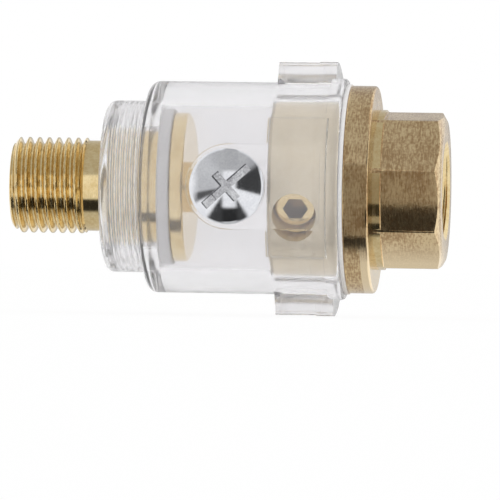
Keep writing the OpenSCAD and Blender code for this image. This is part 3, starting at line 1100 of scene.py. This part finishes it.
@dataclass
class Bowl(SubAssembly):
    """The clear oil bowl: neck, barrel, lobed grip ring, filler pad and sealing lip in one moulding."""

    outlet: Outlet = None
    inlet: Inlet = None
    filler: Filler = None
    neck_r: float = 11.75 * MM
    shoulder_x: float = 8.55 * MM
    bowl_r: float = 14.5 * MM
    chamber_r: float = 11.2 * MM
    neck_round: float = 1.2 * MM
    shoulder_round: float = 1.4 * MM
    shoulder_fillet: float = 0.5 * MM
    ring_w: float = 8.0 * MM
    lip_w: float = 1.5 * MM
    lip_r: float = 15.15 * MM
    lip_round: float = 0.5 * MM
    lobe_w: float = 18.8 * MM
    lobe_round: float = 0.9 * MM
    lobe_fillet: float = 1.6 * MM
    lobe_count: int = 3
    ring_round: float = 0.5 * MM
    parting_w: float = 2.4 * MM
    parting_step: float = 0.1 * MM
    pad_r: float = 5.8 * MM
    pad_stop: float = 0.7 * MM
    pad_round: float = 0.25 * MM
    pad_root: float = 0.6 * MM
    edge: float = 0.4 * MM

    def __post_init__(self) -> None:
        """Read the places along the air line from the frame."""
        low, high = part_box("bowl")
        self.neck_x, self.lip_end = low.x, high.x
        self.lobe_r = -low.y
        self.ring_end = self.lip_end - self.lip_w
        self.ring_x = self.ring_end - self.ring_w
        self.pad_h = self.filler.seal_base - THREAD_FIT

    def build(self) -> None:
        """Model the bowl."""
        obj = self._barrel()
        ring = self._ring()
        self._cut_pad_channel(ring)
        combine(obj, ring, Cut.UNION)
        combine(obj, self._pad(), Cut.UNION)
        combine(obj, self._filler_drill(), Cut.DIFFERENCE)
        self.dress(obj, "bowl", HOUSING, Finish.CLEAR_PLASTIC)

    def _barrel(self) -> Solid:
        """Turn the bowl without its ring and pad, and cut the neck's female thread."""
        stem_bore = self.outlet.stem_r + THREAD_FIT
        plug_bore = self.inlet.plug_r + THREAD_FIT
        chamber_x = self.outlet.gasket_x
        chamber_end = self.inlet.plug_x - THREAD_FIT
        shoulder_y = self.neck_r + self.shoulder_fillet
        profile = [(self.neck_x, stem_bore + self.edge)]
        centre = (self.neck_x + self.neck_round, self.neck_r - self.neck_round)
        profile += arc(centre, self.neck_round, 180, 90)
        profile += arc((self.shoulder_x - self.shoulder_fillet, shoulder_y), self.shoulder_fillet, 270, 360)
        centre = (self.shoulder_x + self.shoulder_round, self.bowl_r - self.shoulder_round)
        profile += arc(centre, self.shoulder_round, 180, 90)
        lip_x = self.ring_end - self.ring_round
        profile += [(lip_x, self.bowl_r), (lip_x, self.lip_r)]
        profile += arc((self.lip_end - self.lip_round, self.lip_r - self.lip_round), self.lip_round, 90, 0)
        profile += [(self.lip_end, plug_bore + self.edge)]
        profile += [(self.lip_end - self.edge, plug_bore), (chamber_end, plug_bore)]
        profile += [(chamber_end, self.chamber_r), (chamber_x, self.chamber_r)]
        profile += thread_rows((chamber_x, stem_bore), (self.neck_x + self.edge, stem_bore))
        obj = turn("bowl_moulding", profile)
        self.outlet.stem_thread(THREAD_FIT).cut(obj)
        return obj

    def _lobe(self) -> list[Point]:
        """Give half a lobe's outline, from the foot of its fillet to the middle of its crown."""
        half = self.lobe_w / 2
        foot = math.sqrt((self.bowl_r + self.lobe_fillet) ** 2 - (half + self.lobe_fillet) ** 2)
        foot_angle = math.degrees(math.atan2(half + self.lobe_fillet, foot))
        crown_r = self.lobe_r - self.parting_step
        corner = math.sqrt((crown_r - self.lobe_round) ** 2 - (half - self.lobe_round) ** 2)
        corner_angle = math.degrees(math.atan2(half - self.lobe_round, corner))
        points = arc((foot, half + self.lobe_fillet), self.lobe_fillet, 180 + foot_angle, 270)
        points += arc((corner, half - self.lobe_round), self.lobe_round, 90, corner_angle)
        points += arc((0.0, 0.0), crown_r, corner_angle, 0, 16)[1:]
        return points

    def _ring(self) -> Solid:
        """Extrude the lobed ring, with the step of the mould joint and rounded rims."""
        half = self._lobe()
        lobe = half + [(a, -b) for a, b in reversed(half[:-1])]
        outline = []
        for k in range(self.lobe_count):
            start = math.tau * k / self.lobe_count
            last_a, last_b = lobe[-1]
            valley = math.degrees(math.atan2(last_b, last_a))
            next_valley = -360 / self.lobe_count - valley
            points = lobe + arc((0.0, 0.0), self.bowl_r, valley, next_valley, 12)[1:-1]
            cos, sin = math.cos(-start), math.sin(-start)
            outline += [Vector((self.ring_x, -(a * cos - b * sin), a * sin + b * cos)) for a, b in points]
        joint = self.ring_w - self.parting_w
        obj = raise_outline("grip_ring", outline, Vector((joint, 0, 0)))
        for face in obj.data.polygons:
            face.select = face.normal.x > 0.9
        self._select_faces_only(obj)
        grow = self.lobe_r / (self.lobe_r - self.parting_step)
        bpy.ops.object.mode_set(mode="EDIT")
        bpy.ops.mesh.extrude_region_move(TRANSFORM_OT_translate={"value": (0, 0, 0)})
        bpy.ops.transform.resize(value=(1, grow, grow), center_override=(0, 0, 0))
        bpy.ops.mesh.extrude_region_move(TRANSFORM_OT_translate={"value": (self.parting_w, 0, 0)})
        bpy.ops.object.mode_set(mode="OBJECT")
        round_edges(obj, self.ring_round, 60.0, 4)
        wall = (self.bowl_r + self.inlet.plug_r) / 2
        low, high = self.ring_x - TOOL_MARGIN, self.ring_end + TOOL_MARGIN
        profile = [(low, 0.0), (low, wall), (high, wall), (high, 0.0)]
        combine(obj, turn("ring_bore", profile, 96), Cut.DIFFERENCE)
        return obj

    @staticmethod
    def _select_faces_only(obj: Solid) -> None:
        """Select the vertices and edges of the selected faces and no others."""
        chosen = {i for face in obj.data.polygons if face.select for i in face.vertices}
        for vertex in obj.data.vertices:
            vertex.select = vertex.index in chosen
        for edge in obj.data.edges:
            edge.select = all(i in chosen for i in edge.vertices)

    def _pad_outline(self, height: float) -> list[Vector]:
        """Give the pad's outline at a height above the air line."""
        end = self.ring_end - self.pad_stop
        points = [(end, -self.pad_r), *arc((self.filler.x, 0.0), self.pad_r, 270, 90, 48), (end, self.pad_r)]
        return [Vector((x, -height, z)) for x, z in points]

    def _cut_pad_channel(self, ring: Solid) -> None:
        """Cut the pad's channel through the front lobe."""
        depth = Vector((0, -(self.lobe_r - self.pad_h + TOOL_MARGIN), 0))
        combine(ring, raise_outline("pad_channel", self._pad_outline(self.pad_h), depth), Cut.DIFFERENCE)

    def _pad(self) -> Solid:
        """Raise the pad from inside the bowl's wall, with a rounded upper edge."""
        root = self.inlet.plug_r + self.pad_root
        obj = raise_outline("filler_pad", self._pad_outline(root), Vector((0, root - self.pad_h, 0)))
        round_edges(obj, self.pad_round, 60.0, 3)
        return obj

    def _filler_drill(self) -> Solid:
        """Make the tool that drills the filler's hole."""
        bore = self.filler.shank_r + THREAD_FIT
        inside = self.chamber_r / 2
        outside = self.pad_h + self.edge
        profile = [(inside, 0.0), (inside, bore), (outside, bore), (outside, 0.0)]
        tool = turn("filler_drill", profile, 96)
        place(tool, self.filler.frame_matrix())
        return tool


@dataclass(frozen=True)
class Card:
    """An upright card in front of the part that only metal mirrors.

    Attributes:
        name: Its name.
        low: Its lower left corner.
        high: Its upper right corner.
        grey: Its colour.
    """

    name: str
    low: Vector
    high: Vector
    grey: float

    def stand(self) -> None:
        """Put the card up."""
        bpy.ops.object.select_all(action="DESELECT")
        bpy.ops.mesh.primitive_plane_add(size=1.0)
        card = bpy.context.object
        card.name = self.name
        upright = Matrix.Rotation(math.pi / 2, 4, "X")
        size = Matrix.Diagonal((self.high.x - self.low.x, self.high.z - self.low.z, 1.0, 1.0))
        place(card, Matrix.Translation((self.low + self.high) / 2) @ upright @ size)
        for way in ("camera", "diffuse", "transmission", "volume_scatter", "shadow"):
            setattr(card, "visible_" + way, False)
        material = bpy.data.materials.new(self.name)
        material.use_nodes = True
        shader = material.node_tree.nodes["Principled BSDF"]
        shader.inputs["Base Color"].default_value = (self.grey, self.grey, self.grey, 1.0)
        shader.inputs["Roughness"].default_value = 1.0
        card.data.materials.append(material)
        card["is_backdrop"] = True


@dataclass
class Studio:
    """The pale floor, the soft light and the camera."""

    azimuth: float = 6.1
    roll: float = 0.92
    distance: float = 0.870
    lens: float = 457.0
    target: Vector = field(default_factory=lambda: Vector((0.02244, 0.0, -0.0085)))
    floor_size: float = 4.0
    floor_gap: float = 0.05 * MM
    floor_grey: float = 0.97
    floor_white: float = 0.94
    # Brightness of the light by its angle above the camera's level, in degrees
    zones: tuple[Point, ...] = (
        (-180, 0.65), (-74, 0.6), (-67, 0.03), (-38, 0.03), (-33, 1.0), (24, 1.0), (29, 0.5), (120, 0.5),
        (180, 0.65))
    # The same for light that reaches metal through the bowl's wall
    inner_zones: tuple[Point, ...] = (
        (-180, 1.0), (-72, 1.0), (-66, 0.05), (-52, 0.05), (-46, 1.0), (180, 1.0))
    # Brightness off to the sides by the angle round the camera's line of sight, from the right by the top
    sectors: tuple[Point, ...] = (
        (-180, 0.6), (-172, 0.6), (-168, 0.1), (-158, 0.1), (-153, 1.0), (-130, 1.0), (-124, 0.06),
        (-62, 0.06), (-55, 1.0), (-17, 1.0), (-12, 0.06), (36, 0.06), (46, 0.45), (60, 0.52), (112, 0.52),
        (135, 0.66), (180, 0.6))
    # Share of a direction that points sideways where the sectors, then plain white, follow the zones
    sector_edge: Point = (0.15, 0.24)
    white_edge: Point = (0.8, 0.92)
    # Share that points to the front where the sectors give way to the white behind the part
    back_edge: Point = (0.2, -0.2)
    # What the flange mirrors, and what the lower half of the octagon's front face mirrors
    cards: tuple[Card, ...] = (
        Card("grey_card", Vector((35, -19, -15.3)) * MM, Vector((50, -19, 6.2)) * MM, 0.58),
        Card("dark_card", Vector((39.2, -18, -10)) * MM, Vector((50, -18, -4.8)) * MM, 0.06))
    # How often light may turn on its way out of the clear bowl
    bounces: int = 32

    def build(self) -> None:
        """Set up the whole studio."""
        self._camera()
        self._floor()
        for card in self.cards:
            card.stand()
        self._world()
        cycles = bpy.context.scene.cycles
        cycles.max_bounces = cycles.glossy_bounces = cycles.transmission_bounces = self.bounces
        bpy.context.scene.view_settings.view_transform = "Standard"

    def _back(self) -> Vector:
        """Give the direction from the part to the camera."""
        angle = math.radians(self.azimuth)
        return Vector((math.sin(angle), -math.cos(angle), 0.0))

    def _camera(self) -> None:
        """Put the camera where the photograph was taken from."""
        back = self._back()
        data = bpy.data.cameras.new("camera")
        data.lens = self.lens
        data.sensor_width = 36.0
        data.clip_end = 100.0
        camera = bpy.data.objects.new("camera", data)
        bpy.context.scene.collection.objects.link(camera)
        look = (-back).to_track_quat("-Z", "Y").to_matrix().to_4x4()
        roll = Matrix.Rotation(math.radians(self.roll), 4, "Z")
        camera.matrix_world = Matrix.Translation(self.target + back * self.distance) @ look @ roll
        bpy.context.scene.camera = camera

    def _floor(self) -> None:
        """Lay a pale floor under the part, which keeps its shadow but isn't mirrored in metal."""
        bpy.ops.object.select_all(action="DESELECT")
        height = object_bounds()[0].z - self.floor_gap
        bpy.ops.mesh.primitive_plane_add(size=self.floor_size, location=(0, 0, height))
        floor = bpy.context.object
        floor.name = "floor"
        floor.visible_glossy = False
        floor.visible_transmission = False
        material = bpy.data.materials.new("pale_floor")
        material.use_nodes = True
        board = NodeBoard(material.node_tree)
        board.tree.nodes.clear()
        paint = board.add("ShaderNodeBsdfDiffuse")
        paint.inputs["Color"].default_value = (self.floor_grey, self.floor_grey, self.floor_grey, 1.0)
        white = board.add("ShaderNodeEmission")
        share = board.math("MULTIPLY", board.plain_sight(), self.floor_white)
        surface = board.blend(share, paint.outputs[0], white.outputs[0])
        board.feed(board.add("ShaderNodeOutputMaterial").inputs["Surface"], surface)
        floor.data.materials.append(material)
        floor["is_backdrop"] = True

    def _world(self) -> None:
        """Light the part from all round, with dark zones in front of it for metal to show."""
        world = bpy.data.worlds.new("studio")
        bpy.context.scene.world = world
        world.use_nodes = True
        board = NodeBoard(world.node_tree)
        board.tree.nodes.clear()
        direction = board.add("ShaderNodeTexCoord").outputs["Generated"]
        parts = board.add("ShaderNodeSeparateXYZ")
        board.feed(parts.inputs[0], direction)
        front = board.math("MULTIPLY", parts.outputs[1], -1.0)
        angle = board.math("ARCTAN2", parts.outputs[2], front)
        around = board.math("ARCTAN2", parts.outputs[2], parts.outputs[0])
        pairs = ((angle, self.zones), (angle, self.inner_zones), (around, self.sectors))
        outside, inside, beside = (
            board.ramp(board.span(turn_angle, (-math.pi, math.pi, 0.0, 1.0)),
                       [((degrees + 180) / 360, (level, level, level)) for degrees, level in zones])
            for turn_angle, zones in pairs)
        rays = board.add("ShaderNodeLightPath").outputs
        sideways = board.math("ABSOLUTE", parts.outputs[0])
        beside = board.mix(board.span(front, (*self.back_edge, 0.0, 1.0)), beside, WHITE)
        outside = board.mix(board.span(sideways, (*self.sector_edge, 0.0, 1.0)), outside, beside)
        bands = board.mix(rays["Is Transmission Ray"], outside, inside)
        bands = board.mix(board.span(sideways, (*self.white_edge, 0.0, 1.0)), bands, WHITE)
        matt = board.math("GREATER_THAN", rays["Diffuse Depth"], 0.5)
        seen = board.mix(board.math("MAXIMUM", board.plain_sight(), matt), bands, WHITE)
        light = board.add("ShaderNodeBackground")
        board.feed(light.inputs["Color"], seen)
        board.feed(board.add("ShaderNodeOutputWorld").inputs["Surface"], light.outputs[0])


def main() -> None:
    """Build the part and its studio."""
    logging.basicConfig(level=logging.INFO, format="%(name)s: %(message)s")
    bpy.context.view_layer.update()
    outlet = Outlet()
    filler = Filler()
    metering = Metering()
    inlet = Inlet(metering=metering)
    bowl = Bowl(outlet=outlet, inlet=inlet, filler=filler)
    for group in (outlet, filler, inlet, metering, bowl):
        group.build()
        for obj in group.pieces:
            log.info("%s: %d faces", obj.name, len(obj.data.polygons))
    Studio().build()


if __name__ == "__main__":
    main()
